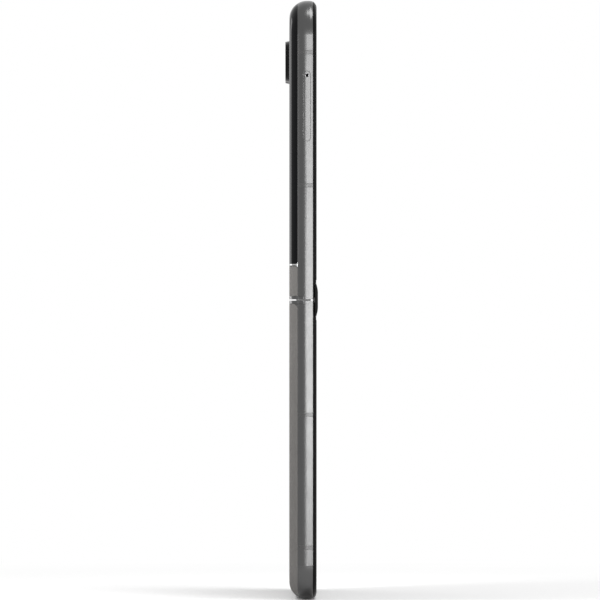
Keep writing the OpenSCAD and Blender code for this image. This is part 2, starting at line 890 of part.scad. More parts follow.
// A pouch cell: rounded block with a folded seal at its outer end.
module cell(h, t) {
    r = 1.2;
    translate([0, 0, cell_z0]) across([-cell_w / 2, cell_w / 2]) {
        translate([0, cell_d + r]) square([h - 1.4, t - 2 * r]);
        translate([r, cell_d]) square([h - 1.4 - 2 * r, t]);
        for (z = [r, h - 1.4 - r], d = [cell_d + r, cell_d + t - r]) translate([z, d]) circle(r);
        translate([h - 2, cell_d + t / 2]) square([2, 0.8]);
    }
}

module earpiece() {
    color([0.15, 0.15, 0.15]) upper()
        block(earpiece_span, [plate_back_d, board_d - part_gap],
            [punch_z - earpiece_h / 2, punch_z + earpiece_h / 2]);
}

// Socket that holds the card tray, with a slot open towards the rail.
module tray_reader() {
    z = [tray_z - tray_w / 2 - 1, eject_z + rod_w / 2 + 1];
    slot_d = [tray_mid_d - tray_plate_t / 2 - tray_gap, tray_mid_d + tray_plate_t / 2 + tray_gap];
    color([0.65, 0.65, 0.67]) upper() {
        difference() {
            block([reader_x0, reader_x1], [plate_back_d, board_d], z);
            block([reader_x0 - 1, tray_tail_x + 1.6], slot_d,
                [tray_z - tray_w / 2 - tray_gap, tray_z + tray_w / 2 + tray_gap]);
            block([reader_x0 - 1, tray_tail_x + 1.6],
                [tray_mid_d - rod_w / 2 - rod_gap, tray_mid_d + rod_w / 2 + rod_gap],
                [eject_z - rod_w / 2 - rod_gap, eject_z + rod_w / 2 + rod_gap]);
            block([tray_tail_x + 0.2, reader_x1 - 0.6],
                [tray_mid_d - lever_t / 2 - rod_gap, tray_mid_d + lever_t / 2 + rod_gap],
                [ejector_z - ejector_tail - 0.6, eject_z + rod_w / 2 + rod_gap]);
        }
        post(ejector_pin_r, ejector_x, ejector_z, [plate_back_d + 0.1, board_d - 0.1]);
    }
}

// Push switches on a strip along the right rail.
module side_switches() {
    z0 = power_z - power_len / 2 - 2.2;
    z1 = volume_z + volume_len / 2 + 2.2;
    d = [plate_back_d + part_gap, depth(button_y) + 0.9];
    mid_d = (d[0] + d[1]) / 2;
    between_z = (power_z + power_len / 2 + volume_z - volume_len / 2) / 2;
    color([0.75, 0.7, 0.55]) upper() {
        block([switch_x - 0.6, switch_x - 0.3], d, [z0, z1]);
        for (z = [power_z, volume_z - volume_len / 4, volume_z + volume_len / 4])
            bar_x(0.6, [switch_x - 0.3 - eps, switch_x], mid_d, z);
        for (z = [z0, between_z - 0.5, z1 - 1])
            block([switch_x - 0.3 - eps, half_w - rail_t], d, [z, z + 1]);
    }
}

// ---------------------------------------------------------------- lower half, inside

module lower_battery() {
    color([0.12, 0.12, 0.13]) lower()
        cell(lower_cell_h, lower_cell_t);
}

module charging_coil() {
    d1 = cover_in_d - part_gap;
    color([0.72, 0.42, 0.25]) lower() difference() {
        post(coil_out_r, 0, coil_z, [d1 - coil_t, d1]);
        post(coil_in_r, 0, coil_z, [d1 - coil_t - 1, d1 + 1]);
    }
}

module sub_board() {
    color([0.08, 0.25, 0.14]) lower() difference() {
        through([board_d, board_d + board_t]) intersection() {
            plan_2d(board_inset, sub_board_z0);
            translate([-half_w, sub_board_z0]) square([body_w, half_len]);
        }
        block([-port_w / 2 - 0.8, port_w / 2 + 0.8], [board_d - 1, board_d + 2],
            [half_len - rail_t - port_depth, half_len]);
        boss_holes(lower_bosses);
    }
}

// Outline of the connector, grown by a margin.
module port_2d(grow) {
    for (s = [-1, 1]) translate([s * (port_w - port_h) / 2, port_y]) circle(port_h / 2 + grow);
    translate([-(port_w - port_h) / 2, port_y - port_h / 2 - grow])
        square([port_w - port_h, port_h + 2 * grow]);
}

module port_hole() {
    translate([0, 0, half_len - rail_t - 1]) linear_extrude(rail_t + 2) port_2d(0);
    translate([0, 0, half_len - rail_t - 1]) linear_extrude(1 + port_pocket) port_2d(port_shell + part_gap);
}

// Socket for the charging plug: a rolled shell with a tongue inside.
module usb_port() {
    z1 = half_len - rail_t + port_pocket;
    color([0.6, 0.6, 0.62]) lower() {
        difference() {
            translate([0, 0, z1 - port_depth]) linear_extrude(port_depth) port_2d(port_shell);
            translate([0, 0, z1 - port_depth + 0.8]) linear_extrude(port_depth) port_2d(0);
        }
        translate([-(port_w - 1.8) / 2, port_y - 0.35, z1 - port_depth + 0.8 - eps])
            cube([port_w - 1.8, 0.7, port_depth - 1.4]);
        for (s = [-1, 1]) block([s * (port_w / 2 + 0.75) - 0.55, s * (port_w / 2 + 0.75) + 0.55],
            [board_d + board_t, board_d + board_t + 0.3], [z1 - port_depth + 1, z1 - 2.4]);
    }
}

// A hole through an end wall.
module end_hole(x, r) {
    translate([x, port_y, half_len - rail_t - clear]) cylinder(r = r, h = rail_t + 2 * clear);
}

module sound_hole_row() {
    for (i = [0 : sound_holes - 1]) end_hole(sound_x0 + i * sound_pitch, sound_hole_d / 2);
}

module loudspeaker() {
    z1 = half_len - rail_t - part_gap;
    color([0.1, 0.1, 0.1]) lower() difference() {
        block([sound_x0 - 1.4, half_w - corner_r + 1], [plate_back_d, board_d - part_gap],
            [z1 - speaker_h, z1]);
        block([sound_x0 - 0.6, half_w - corner_r - 0.4], [depth(port_y) - 0.5, depth(port_y) + 0.5],
            [z1 - 1, z1 + 1]);
    }
}

module vibration_motor() {
    color([0.7, 0.7, 0.7]) lower()
        post(motor_r, motor_x, half_len - motor_drop, [plate_back_d, board_d - part_gap]);
}

// ---------------------------------------------------------------- hinge

// Curved shell that closes the back of the fold.
module spine_cover() {
    color([0.4, 0.4, 0.4]) upper() {
        across([-spine_half_w, spine_half_w]) difference() {
            spine_2d(spine_r);
            spine_2d(spine_in_r);
            translate([-big, spine_edge_d - big]) square([2 * big, big]);
        }
        for (s = [-1, 1]) across([s * (spine_half_w - 0.2) - 0.2, s * (spine_half_w - 0.2) + 0.2])
            difference() {
                spine_2d(spine_r - eps);
                translate([-big, spine_edge_d - big]) square([2 * big, big]);
            }
    }
}

// Places a child at each hinge unit.
module hinge_units() {
    both_sides() translate([hinge_x, 0, 0]) children();
}

// The fixed part of each unit: a deck in the spine with lugs for the shafts.
module hinge_bases() {
    color([0.55, 0.55, 0.57]) upper() hinge_units() difference() {
        union() {
            across([-unit_half, unit_half]) difference() {
                union() {
                    spine_2d(base_r);
                    translate([-axis_z, axis_depth]) square([2 * axis_z, spine_in_r]);
                }
                translate([-big, deck_d - big]) square([2 * big, big]);
            }
            for (span = lug_spans, s = [-1, 1]) across(span) {
                translate([s * axis_z, axis_depth]) circle(knuckle_r);
                translate([s * axis_z - knuckle_r, axis_depth])
                    square([2 * knuckle_r, deck_d - axis_depth + 1]);
            }
            for (span = gear_lug_spans)
                across(span) translate([-axis_z, idler_depth - idler_d / 2 - 0.2])
                    square([2 * axis_z, deck_d - idler_depth + 1]);
        }
        for (s = [-1, 1]) bar_x(shaft_r + shaft_gap, [-big, big], axis_depth, s * axis_z);
        for (s = [-1, 1]) bar_x(idler_d / 2 + shaft_gap,
            [idler_span[0] - 0.1, idler_span[1] + 0.1], idler_depth, s * gear_r);
        block([-unit_half + 1.4, unit_half - 1.4], [deck_d + 1, axis_depth + base_r + 1],
            [-axis_z + 0.6, axis_z - 0.6]);
    }
}

// Sprung sleeves that grip the shafts and hold the phone at any angle.
module friction_clips() {
    color([0.45, 0.45, 0.5]) upper() hinge_units() for (s = [-1, 1]) difference() {
        across(clip_span) {
            translate([s * axis_z, axis_depth]) circle(knuckle_r);
            translate([s * axis_z - 0.4, axis_depth]) square([0.8, deck_d - axis_depth]);
        }
        bar_x(shaft_r + 0.02, [-big, big], axis_depth, s * axis_z);
    }
}

// Outline of a timing gear about the origin.
function gear_points(phase) = [
    for (i = [0 : gear_teeth - 1])
        for (p = [
            [gear_r - tooth_root, -tooth_root_deg],
            [gear_r + tooth_tip, -tooth_tip_deg],
            [gear_r + tooth_tip, tooth_tip_deg],
            [gear_r - tooth_root, tooth_root_deg]
        ])
            let (turn = phase + i * tooth_deg + p[1])
            [p[0] * cos(turn), p[0] * sin(turn)]
];

module gear(z, d, phase) {
    across(gear_span) translate([z, d]) polygon(gear_points(phase));
}

// A shaft with its timing gear, fixed in the leaf of its half.
module shaft(z, phase) {
    bar_x(shaft_r, [-unit_half, unit_half], axis_depth, z);
    gear(z, axis_depth, phase);
}

module upper_hinge_shafts() {
    color([0.6, 0.6, 0.62]) upper() hinge_units() shaft(axis_z, phase_upper);
}

module lower_hinge_shafts() {
    color([0.6, 0.6, 0.62]) upper() hinge_units() shaft(-axis_z, phase_lower);
}

module idler(z, phase) {
    bar_x(idler_d / 2, idler_span, idler_depth, z);
    gear(z, idler_depth, phase);
}

module idler_gears_upper() {
    color([0.7, 0.62, 0.4]) upper() hinge_units() idler(gear_r, phase_idler_upper);
}

module idler_gears_lower() {
    color([0.7, 0.62, 0.4]) upper() hinge_units() idler(-gear_r, phase_idler_lower);
}

// A leaf: knuckle round the shaft, tongue over the spine's edge, plate on the frame.
module hinge_leaf() {
    difference() {
        union() {
            bar_x(knuckle_r, knuckle_span, axis_depth, axis_z);
            block(knuckle_span, [leaf_front_d, leaf_back_d], [axis_z, leaf_z1]);
            block([-unit_half, unit_half], [leaf_front_d, leaf_back_d], [trough_z + part_gap, leaf_z1]);
        }
        bar_x(shaft_r + 0.01, [-big, big], axis_depth, axis_z);
        for (s = [-1, 1]) {
            post(screw_r + screw_gap, s * leaf_screw_x, leaf_screw_z, [leaf_front_d - 1, leaf_back_d + 1]);
            post(screw_head_r + screw_gap, s * leaf_screw_x, leaf_screw_z,
                [leaf_front_d - 1, leaf_front_d + screw_head_t]);
        }
    }
}

module upper_hinge_leaves() {
    color([0.5, 0.5, 0.52]) upper() hinge_units() hinge_leaf();
}

module lower_hinge_leaves() {
    color([0.5, 0.5, 0.52]) lower() hinge_units() hinge_leaf();
}

// ---------------------------------------------------------------- cables and screws

// Ribbon through the fold, slack in the spine.
module hinge_flex() {
    mirrored = [for (i = [len(flex_bend) - 2 : -1 : 0]) [-flex_bend[i][0], flex_bend[i][1]]];
    line = concat(
        [[flex_join_z, flex_front_d + flex_t / 2]], flex_bend, mirrored,
        [[-flex_join_z, flex_front_d + flex_t / 2]]
    );
    back = [for (i = [len(line) - 1 : -1 : 0]) line[i] + [0, flex_t / 2]];
    front = [for (p = line) p - [0, flex_t / 2]];
    color([0.75, 0.5, 0.15]) upper()
        across([-flex_w / 2, flex_w / 2]) polygon(concat(front, back));
}

// The ribbon's run inside one half, from the fold to its board.
module flex_run(end_z) {
    x = [-flex_w / 2, flex_w / 2];
    block(x, [flex_front_d, flex_front_d + flex_t], [flex_join_z, flex_turn_z]);
    block(x, [flex_front_d, flex_run_d + flex_t], [flex_turn_z - flex_t, flex_turn_z]);
    block(x, [flex_run_d, flex_run_d + flex_t], [flex_turn_z - flex_t, end_z]);
    block(x, [flex_run_d, board_d], [end_z - flex_t, end_z]);
}

module upper_flex() {
    color([0.75, 0.5, 0.15]) upper() flex_run(board_z0 + 1.4);
}

module lower_flex() {
    color([0.75, 0.5, 0.15]) lower() flex_run(sub_board_z0 + 1.4);
}

module half_screws(places) {
    for (p = places) {
        post(screw_r, p[0], p[1], [board_d - 1.2, board_d + board_t + eps]);
        post(screw_head_r, p[0], p[1], [board_d + board_t, board_d + board_t + screw_head_t]);
    }
    hinge_units() for (s = [-1, 1]) {
        post(screw_r, s * leaf_screw_x, leaf_screw_z, [leaf_front_d + eps, beam_d - 0.1]);
        post(screw_head_r, s * leaf_screw_x, leaf_screw_z,
            [leaf_front_d + 0.02, leaf_front_d + screw_head_t]);
    }
}

module upper_screws() {
    color([0.35, 0.35, 0.36]) upper() half_screws(upper_bosses);
}

module lower_screws() {
    color([0.35, 0.35, 0.36]) lower() half_screws(lower_bosses);
}

// ---------------------------------------------------------------- buttons

// A bar along Z with round ends, reaching from one x to another.
module pill_x(x, y, z, length, width) {
    translate([x[0], y, z]) rotate([0, 90, 0]) linear_extrude(x[1] - x[0]) {
        for (s = [-1, 1]) translate([s * (length - width) / 2, 0]) circle(width / 2);
        translate([-(length - width) / 2, -width / 2]) square([length - width, width]);
    }
}

module side_button_slot(z, length) {
    pill_x([half_w - rail_t - 1, half_w + 1], button_y, z,
        length + 2 * button_gap, button_w + 2 * button_gap);
    pill_x([half_w - rail_t - 1, button_skirt_x + button_gap], button_y, z,
        length + 2 * button_skirt + 2 * button_gap, button_w + 2 * button_gap);
}

// A button with a rounded crown and a skirt that keeps it in the rail.
module side_button(z, length) {
    pill_x([button_in_x, button_face_x - 0.12], button_y, z, length, button_w);
    pill_x([button_face_x - 0.12 - eps, button_face_x], button_y, z, length - 0.3, button_w - 0.3);
    pill_x([button_in_x, button_skirt_x - 0.3], button_y, z, length + 2 * button_skirt, button_w);
}

module power_button() {
    color([0.36, 0.36, 0.36]) upper() side_button(power_z, power_len);
}

module volume_rocker() {
    color([0.36, 0.36, 0.36]) upper() side_button(volume_z, volume_len);
}

// ---------------------------------------------------------------- card tray

module tray_slot() {
    pill_x([-half_w - 1, -half_w + door_t + tray_gap], tray_y, tray_z,
        door_len + 2 * tray_gap, door_w + 2 * tray_gap);
    block([-half_w - 1, -half_w + rail_t + 1],
        [tray_mid_d - tray_plate_t / 2 - tray_gap, tray_mid_d + tray_plate_t / 2 + tray_gap],
        [tray_z - tray_w / 2 - tray_gap, tray_z + tray_w / 2 + tray_gap]);
    bar_x(eject_d / 2, [-half_w - 1, -half_w + rail_t + 1], tray_mid_d, eject_z);
}

// Tray for one card, with a door that closes the slot flush with the rail.
module sim_tray() {
    mid = tray_mid_d;
    color([0.42, 0.42, 0.42]) upper() difference() {
        union() {
            intersection() {
                pill_x([-half_w - 1, -half_w + door_t], tray_y, tray_z, door_len, door_w);
                band([tray_z - door_len, tray_z + door_len], 0, [-body_t / 2, body_t / 2]);
            }
            block([-half_w + door_t - eps, -half_w + tray_depth],
                [mid - tray_plate_t / 2, mid + tray_plate_t / 2],
                [tray_z - tray_w / 2, tray_z + tray_w / 2]);
        }
        for (lip = [0, card_lip])
            block([card_inset + lip - half_w, card_inset + card_w - lip - half_w],
                [lip > 0 ? mid - 1 : mid - 0.2, mid + 1],
                [tray_z - card_h / 2 + lip, tray_z + card_h / 2 - lip]);
        bar_x(eject_d / 2, [-half_w - 1, -half_w + door_t + 1], mid, eject_z);
    }
}

// Rod behind the eject hole. A pin pushes it inwards against the lever.
module eject_rod() {
    color([0.6, 0.6, 0.62]) upper()
        block([reader_x0 + 0.1, ejector_x - lever_w / 2 - part_gap],
            [tray_mid_d - rod_w / 2, tray_mid_d + rod_w / 2], [eject_z - rod_w / 2, eject_z + rod_w / 2]);
}

// Lever that the rod turns, with its long arm behind the tray's tail.
module tray_ejector() {
    d = [tray_mid_d - lever_t / 2, tray_mid_d + lever_t / 2];
    color([0.6, 0.6, 0.62]) upper() difference() {
        union() {
            post(lever_hub_r, ejector_x, ejector_z, d);
            block([ejector_x - lever_w / 2, ejector_x + lever_w / 2], d,
                [ejector_z - ejector_tail, eject_z + rod_w / 2 - 0.1]);
        }
        post(ejector_pin_r + shaft_gap, ejector_x, ejector_z, [d[0] - 1, d[1] + 1]);
    }
}

// ---------------------------------------------------------------- all pieces

lower_frame();
lower_bezel();
display_lower();
back_cover();
lower_battery();
charging_coil();
sub_board();
usb_port();
loudspeaker();
vibration_motor();
lower_antenna_breaks();
lower_flex();
lower_hinge_leaves();
lower_hinge_shafts();
lower_screws();
spine_cover();
hinge_bases();
friction_clips();
display_fold();
fold_guard_left();
fold_guard_right();
hinge_flex();
idler_gears_lower();
idler_gears_upper();
upper_frame();
upper_bezel();
display_upper();
cover_glass();
cover_display();
cover_trim();
leather_strip();
camera_rings();
camera_windows();
main_camera();
wide_camera();
flash();
front_camera();
earpiece();
main_board();
board_shields();
upper_battery();
tray_reader();
side_switches();
upper_antenna_breaks();
upper_flex();
upper_hinge_leaves();
upper_hinge_shafts();
upper_screws();
power_button();
volume_rocker();
sim_tray();
eject_rod();
tray_ejector();
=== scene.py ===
"""An open foldable smartphone standing on its lower end, seen from its left side.

The row frame is in metres: X across the width, Y out of the back, Z up the length.
"""

import math

import bmesh
import bpy
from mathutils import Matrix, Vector


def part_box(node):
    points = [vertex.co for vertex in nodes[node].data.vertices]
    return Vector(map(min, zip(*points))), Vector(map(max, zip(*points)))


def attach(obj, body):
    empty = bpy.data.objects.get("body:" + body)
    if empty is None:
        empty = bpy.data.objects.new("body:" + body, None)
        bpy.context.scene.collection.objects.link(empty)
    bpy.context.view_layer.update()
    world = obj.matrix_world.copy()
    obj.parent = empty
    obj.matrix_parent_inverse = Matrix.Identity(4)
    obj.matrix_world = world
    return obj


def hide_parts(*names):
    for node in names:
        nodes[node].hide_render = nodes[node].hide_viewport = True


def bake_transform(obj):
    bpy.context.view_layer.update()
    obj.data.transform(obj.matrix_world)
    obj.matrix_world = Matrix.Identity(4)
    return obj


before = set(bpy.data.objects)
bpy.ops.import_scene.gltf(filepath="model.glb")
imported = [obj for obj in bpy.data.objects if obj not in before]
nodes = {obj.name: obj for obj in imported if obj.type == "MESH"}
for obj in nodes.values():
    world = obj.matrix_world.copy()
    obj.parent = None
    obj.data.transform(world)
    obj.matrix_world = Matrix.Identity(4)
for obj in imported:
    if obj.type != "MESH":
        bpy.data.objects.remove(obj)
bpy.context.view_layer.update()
scene = bpy.context.scene
MM = 0.001

# Places on the phone that the pieces below share, in millimetres.
SEAM_Z = 85.65
SCREEN_FRONT_Y = -3.45
SCREEN_SPLIT = 6.32
BEND_REACH = 4.5
GUARD_REACH = 4.7
CAMERA_Z = 155.0
CAMERAS = {"main": (20.7, 3.35), "wide": (5.1, 2.75)}
CAMERA_MOUTH_Y = 4.17
CAMERA_DEPTH = 0.9
FLASH_X = -4.35
FLASH_FLOOR_Y = 3.55
PUNCH_Z = 164.9
PORT_Y = -0.4
SPEAKER_X = [12.5 + 2.4 * i for i in range(6)]
CREASE_DEPTH = 0.07
COVER_PANEL_HALF_WIDTH = 31.5
COVER_PANEL_FOOT_Z = 100.2


# ---------------------------------------------------------------- materials
#
# The refractive indices are fitted to the photo under the lamps below. Real glass, plastic and
# rubber lie nearer 1.5.


class Surface:
    """A material whose texture nodes feed one Principled shader. Lengths are in metres."""

    def __init__(self, name, sockets):
        self.material = bpy.data.materials.new(name)
        self.material.use_nodes = True
        self.tree = self.material.node_tree
        self.tree.nodes.clear()
        self.shader = self.node("BsdfPrincipled", sockets)
        out = self.node("OutputMaterial")
        self.tree.links.new(self.shader.outputs["BSDF"], out.inputs["Surface"])
        self.place = self.node("TexCoord").outputs["Object"]

    def node(self, kind, inputs=(), **settings):
        made = self.tree.nodes.new("ShaderNode" + kind)
        for key, value in settings.items():
            setattr(made, key, value)
        for key, value in dict(inputs).items():
            if isinstance(value, bpy.types.NodeSocket):
                self.tree.links.new(value, made.inputs[key])
            else:
                made.inputs[key].default_value = value
        return made

    def set(self, socket, value):
        self.tree.links.new(value, self.shader.inputs[socket])

    def stretched(self, factors):
        """The place in the row frame, with each axis scaled."""
        made = self.node("VectorMath", {0: self.place, 1: factors}, operation="MULTIPLY")
        return made.outputs[0]

    def noise(self, scale, detail=3.0, roughness=0.5, place=None):
        inputs = {
            "Vector": place or self.place,
            "Scale": scale,
            "Detail": detail,
            "Roughness": roughness,
        }
        return self.node("TexNoise", inputs).outputs["Fac"]

    def cells(self, scale, feature="F1", place=None, jitter=1.0):
        inputs = {"Vector": place or self.place, "Scale": scale, "Randomness": jitter}
        return self.node("TexVoronoi", inputs, feature=feature).outputs["Distance"]

    def remap(self, value, source, target):
        inputs = {
            "Value": value,
            "From Min": source[0],
            "From Max": source[1],
            "To Min": target[0],
            "To Max": target[1],
        }
        return self.node("MapRange", inputs).outputs["Result"]

    def math(self, operation, *values):
        return self.node("Math", dict(enumerate(values)), operation=operation).outputs[0]

    def mix(self, factor, first, second):
        made = self.node("Mix", {0: factor, 6: first, 7: second}, data_type="RGBA")
        return made.outputs[2]

    def axis(self, name):
        return self.node("SeparateXYZ", {0: self.place}).outputs[name]

    def reach(self, centre_x, centre_z):
        """How far a point lies from a line along Y. The centre is in metres."""
        x = self.math("SUBTRACT", self.axis("X"), centre_x)
        z = self.math("SUBTRACT", self.axis("Z"), centre_z)
        squares = [self.math("MULTIPLY", value, value) for value in (x, z)]
        return self.math("SQRT", self.math("ADD", *squares))

    def bevel(self, radius):
        return self.node("Bevel", {"Radius": radius}, samples=6).outputs["Normal"]

    def bump(self, height, distance, strength=1.0, under=None):
        inputs = {"Height": height, "Distance": distance, "Strength": strength}
        if under is not None:
            inputs["Normal"] = under
        return self.node("Bump", inputs).outputs["Normal"]

    def edges(self, radius):
        """1 on sharp edges and 0 on flat ground, from how far a rounded normal turns."""
        flat = self.node("NewGeometry").outputs["Normal"]
        turned = self.node("VectorMath", {0: flat, 1: self.bevel(radius)}, operation="DOT_PRODUCT")
        return self.remap(turned.outputs["Value"], (0.995, 0.86), (0.0, 1.0))


def colour(r, g, b):
    return (r, g, b, 1.0)


def grey(value, warm=0.0):
    return colour(value * (1 + warm), value, value * (1 - warm))


def blasted_metal(name, value, roughness, grain=5200.0, depth=0.000006, wear=0.35, warm=0.0):
    """Bead-blasted, dyed metal: fine grain, slow blotches of gloss and paler worn edges."""
    s = Surface(name, {"Metallic": 1.0, "IOR": 1.6})
    blotch = s.noise(95.0, 4.0, 0.6)
    fine = s.noise(grain, 2.0, 0.6)
    dyed = s.mix(blotch, grey(value * 0.93, warm), grey(value * 1.07, warm))
    patches = s.remap(s.noise(420.0, 4.0), (0.42, 0.66), (0.0, wear))
    worn = s.math("MULTIPLY", s.edges(0.00012), patches)
    s.set("Base Color", s.mix(worn, dyed, grey(min(1.0, value * 2.6), warm)))
    gloss = (roughness - 0.03, roughness + 0.03)
    s.set("Roughness", s.remap(s.noise(240.0, 5.0, 0.65), (0.2, 0.8), gloss))
    s.set("Normal", s.bump(fine, depth, 0.6, s.bevel(0.00012)))
    return s.material


def brushed_metal(name, tint, roughness, direction=(1.0, 1.0, 0.03)):
    """Steel or brass with fine lines along one direction."""
    s = Surface(name, {"Metallic": 1.0, "IOR": 1.6})
    lines = s.noise(9000.0, 3.0, 0.6, s.stretched(direction))
    dark, bright = (colour(*(c * k for c in tint)) for k in (0.82, 1.1))
    s.set("Base Color", s.mix(lines, dark, bright))
    s.set("Roughness", s.remap(lines, (0.3, 0.7), (roughness - 0.05, roughness + 0.07)))
    s.set("Normal", s.bump(lines, 0.000003, 0.5, s.bevel(0.00006)))
    return s.material


def satin_plastic(name, value, roughness, grain=4200.0, depth=0.000005, ior=1.45, warm=0.0,
                  round_edges=True):
    """Moulded plastic or rubber with a fine spark-eroded texture."""
    s = Surface(name, {"IOR": ior})
    dark, pale = (grey(value * share, warm) for share in (0.88, 1.12))
    s.set("Base Color", s.mix(s.noise(160.0, 4.0), dark, pale))
    gloss = (roughness - 0.04, roughness + 0.05)
    s.set("Roughness", s.remap(s.noise(700.0, 4.0), (0.25, 0.75), gloss))
    under = s.bevel(0.0001) if round_edges else None
    s.set("Normal", s.bump(s.noise(grain, 3.0), depth, 0.7, under))
    return s.material


def leather(name):
    """Grained leather: closed pebbles in two sizes, paler tops with painted shade in the creases,
    pores and slow mottling.
    """
    s = Surface(name, {"IOR": 1.3})
    sway = s.node("TexNoise", {"Vector": s.place, "Scale": 700.0}).outputs["Color"]
    shift = s.node("VectorMath", {0: sway, 1: (0.00035, 0.00035, 0.00035)}, operation="MULTIPLY")
    moved = s.node("VectorMath", {0: s.place, 1: shift.outputs[0]}, operation="ADD")
    warp = moved.outputs[0]
    creases = s.cells(1900.0, "DISTANCE_TO_EDGE", warp)
    pebble = s.remap(creases, (0.0, 0.42), (0.0, 1.0))
    small = s.remap(s.cells(4300.0, "DISTANCE_TO_EDGE", warp), (0.0, 0.42), (0.0, 1.0))
    pores = s.remap(s.cells(2600.0, "F1", warp), (0.04, 0.12), (0.0, 1.0))
    height = s.math("ADD", s.math("MULTIPLY", pebble, 0.72), s.math("MULTIPLY", small, 0.28))
    height = s.math("MULTIPLY", height, s.remap(pores, (0.0, 1.0), (0.7, 1.0)))
    mottle = s.noise(120.0, 6.0, 0.62)
    tops = s.mix(mottle, grey(0.118, 0.04), grey(0.15, 0.035))
    # Painted shade: the creases between pebbles get a darker colour than the tops.
    s.set("Base Color", s.mix(s.remap(height, (0.0, 0.6), (0.0, 1.0)), grey(0.105, 0.05), tops))
    s.set("Roughness", s.remap(height, (0.0, 1.0), (0.72, 0.5)))
    s.set("Normal", s.bump(height, 0.00013, 1.0))
    return s.material


def gloss_black(name, value, roughness, ior, ripple=0.0000012, round_edges=True):
    """Dark glass with the faint waviness and haze that polished cover glass has."""
    s = Surface(name, {"IOR": ior})
    dark, pale = (grey(value * share, -0.05) for share in (0.8, 1.2))
    s.set("Base Color", s.mix(s.noise(60.0, 3.0), dark, pale))
    gloss = (roughness, roughness + 0.035)
    s.set("Roughness", s.remap(s.noise(340.0, 6.0, 0.7), (0.35, 0.75), gloss))
    under = s.bevel(0.00015) if round_edges else None
    s.set("Normal", s.bump(s.noise(240.0, 2.0), ripple, 0.5, under))
    return s


def cover_glass():
    """Black glass over the outer display, whose area lies a shade deeper than its border."""
    s = gloss_black("cover_glass_black", 0.0025, 0.04, 1.15)
    lit_x = s.math("LESS_THAN", s.math("ABSOLUTE", s.axis("X")), COVER_PANEL_HALF_WIDTH * MM)
    lit_z = s.math("GREATER_THAN", s.axis("Z"), COVER_PANEL_FOOT_Z * MM)
    panel = s.math("MULTIPLY", lit_x, lit_z)
    haze = s.mix(s.noise(60.0, 3.0), colour(0.0021, 0.0022, 0.0025), colour(0.0029, 0.003, 0.0034))
    s.set("Base Color", s.mix(panel, haze, colour(0.0012, 0.0012, 0.0016)))
    return s.material


def screen_glass():
    """The dark inner display under its film, with a faint pixel pattern below the gloss."""
    s = gloss_black("screen_black", 0.0022, 0.05, 1.2, 0.0000008, False)
    pixels = s.cells(11000.0, "F1", s.place, 0.0)
    share = s.remap(pixels, (0.2, 0.5), (0.0, 1.0))
    s.set("Base Color", s.mix(share, colour(0.0016, 0.0016, 0.0021), colour(0.0032, 0.0031, 0.0036)))
    return s.material


def lens_glass():
    """Clear window glass with a trace of smears."""
    sockets = {"Base Color": colour(0.93, 0.95, 0.97), "Transmission Weight": 1.0, "IOR": 1.2}
    s = Surface("window_glass", sockets)
    s.set("Roughness", s.remap(s.noise(500.0, 5.0, 0.7), (0.45, 0.8), (0.0, 0.03)))
    return s.material


def coated_lens(name, inner, outer, centre_x, centre_z, radius, ior=1.45, coat=1.0):
    """A dark lens whose coating turns from one hue in the middle to another at its rim."""
    s = Surface(name, {"IOR": ior, "Coat Weight": coat, "Coat IOR": 1.4, "Coat Roughness": 0.02})
    reach = s.reach(centre_x * MM, centre_z * MM)
    share = s.remap(reach, (0.0, radius * MM), (0.0, 1.0))
    share = s.math("ADD", share, s.remap(s.noise(900.0, 2.0), (0.0, 1.0), (-0.1, 0.1)))
    s.set("Base Color", s.mix(share, inner, outer))
    s.set("Roughness", s.remap(s.noise(1500.0, 2.0), (0.2, 0.8), (0.02, 0.06)))
    return s.material


def flash_diffuser():
    """Milky lens over a yellow phosphor, fading from its middle."""
    s = Surface("flash_milk", {"IOR": 1.45, "Subsurface Weight": 0.2, "Subsurface Scale": 0.0004,
                               "Coat Weight": 0.6, "Coat Roughness": 0.08})
    reach = s.reach(FLASH_X * MM, CAMERA_Z * MM)
    share = s.remap(reach, (0.25 * MM, 1.0 * MM), (0.0, 1.0))
    s.set("Base Color", s.mix(share, colour(0.62, 0.5, 0.16), colour(0.48, 0.47, 0.43)))
    s.set("Roughness", s.remap(s.noise(2600.0, 2.0), (0.2, 0.8), (0.16, 0.34)))
    return s.material


def circuit_board():
    """Green solder mask over copper tracks, with rows of small dark and tinned parts."""
    s = Surface("board_green", {"IOR": 1.5})
    tracks = s.node("TexBrick", {"Vector": s.place, "Scale": 420.0, "Mortar Size": 0.06}, offset=0.5)
    parts = s.remap(s.cells(900.0, "F1", s.place, 0.55), (0.16, 0.2), (1.0, 0.0))
    mask = s.mix(tracks.outputs["Fac"], colour(0.012, 0.085, 0.042), colour(0.03, 0.15, 0.08))
    s.set("Base Color", s.mix(parts, mask, colour(0.02, 0.02, 0.022)))
    s.set("Roughness", s.remap(parts, (0.0, 1.0), (0.28, 0.6)))
    s.set("Normal", s.bump(s.math("ADD", parts, tracks.outputs["Fac"]), 0.00006, 0.6))
    return s.material


def pouch():
    """A wrapped cell: satin black film with shallow wrinkles."""
    s = Surface("pouch_film", {"IOR": 1.45})
    wrinkles = s.noise(130.0, 5.0, 0.6, s.stretched((1.0, 1.0, 0.35)))
    s.set("Base Color", s.mix(wrinkles, grey(0.012), grey(0.03)))
    s.set("Roughness", s.remap(wrinkles, (0.3, 0.7), (0.42, 0.62)))
    s.set("Normal", s.bump(wrinkles, 0.0002, 0.5))
    return s.material


